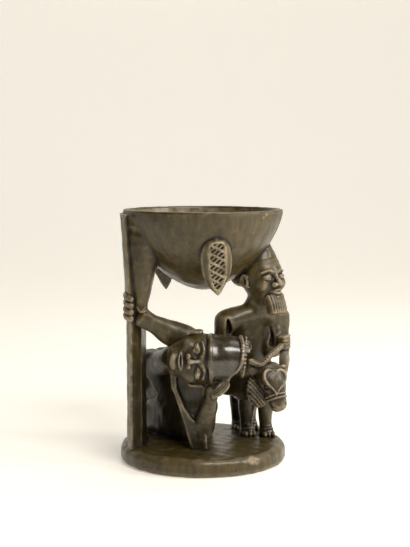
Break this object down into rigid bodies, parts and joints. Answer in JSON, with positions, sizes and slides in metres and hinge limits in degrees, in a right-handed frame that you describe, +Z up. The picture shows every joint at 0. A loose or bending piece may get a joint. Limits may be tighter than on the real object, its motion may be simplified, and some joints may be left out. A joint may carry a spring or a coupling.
{
  "type": "carved figural bowl",
  "caption": "Carved wooden bowl held up by a plank pillar and a rider on a horse, with a kneeling attendant between them, on a round base.",
  "frame": {"origin": "centre of the base's flat underside", "axes": "+Z up through the base and bowl, +X towards the rider and horse, -X towards the pillar, -Y the front, where the attendant's face looks"},
  "size_m": [0.1696, 0.164, 0.2486],
  "materials": {
    "dark_wood": "dark patinated wood with a soft sheen",
    "worn_wood": "dark wood worn lighter on its high spots",
    "polished_wood": "dark wood polished by handling"
  },
  "bodies": {
    "root": {"base": "dark_wood", "bowl": "dark_wood", "leaf_tab_front": "worn_wood", "leaf_tab_back_left": "worn_wood", "leaf_tab_back_right": "worn_wood", "pillar": "dark_wood", "pillar_bracket": "dark_wood", "attendant_head": "worn_wood", "attendant_cap": "polished_wood", "attendant_torso": "dark_wood", "attendant_raised_arm": "dark_wood", "attendant_raised_hand": "worn_wood", "attendant_propping_upper_arm": "dark_wood", "attendant_propping_forearm": "dark_wood", "attendant_propping_hand": "worn_wood", "attendant_near_thigh": "dark_wood", "attendant_far_thigh": "dark_wood", "attendant_near_calf": "dark_wood", "attendant_far_calf": "dark_wood", "rider_head": "worn_wood", "rider_beard": "worn_wood", "rider_cap": "dark_wood", "rider_torso": "dark_wood", "rider_right_arm": "dark_wood", "rider_left_arm": "dark_wood", "rider_right_hand": "worn_wood", "rider_left_hand": "worn_wood", "rider_right_leg": "dark_wood", "rider_left_leg": "dark_wood", "horse_head": "worn_wood", "horse_neck": "worn_wood", "horse_body": "dark_wood", "horse_front_left_leg": "dark_wood", "horse_front_right_leg": "dark_wood", "horse_rear_left_leg": "dark_wood", "horse_rear_right_leg": "dark_wood", "horse_tail": "dark_wood", "rein": "worn_wood", "cheek_strap": "worn_wood"}
  },
  "joints": []
}
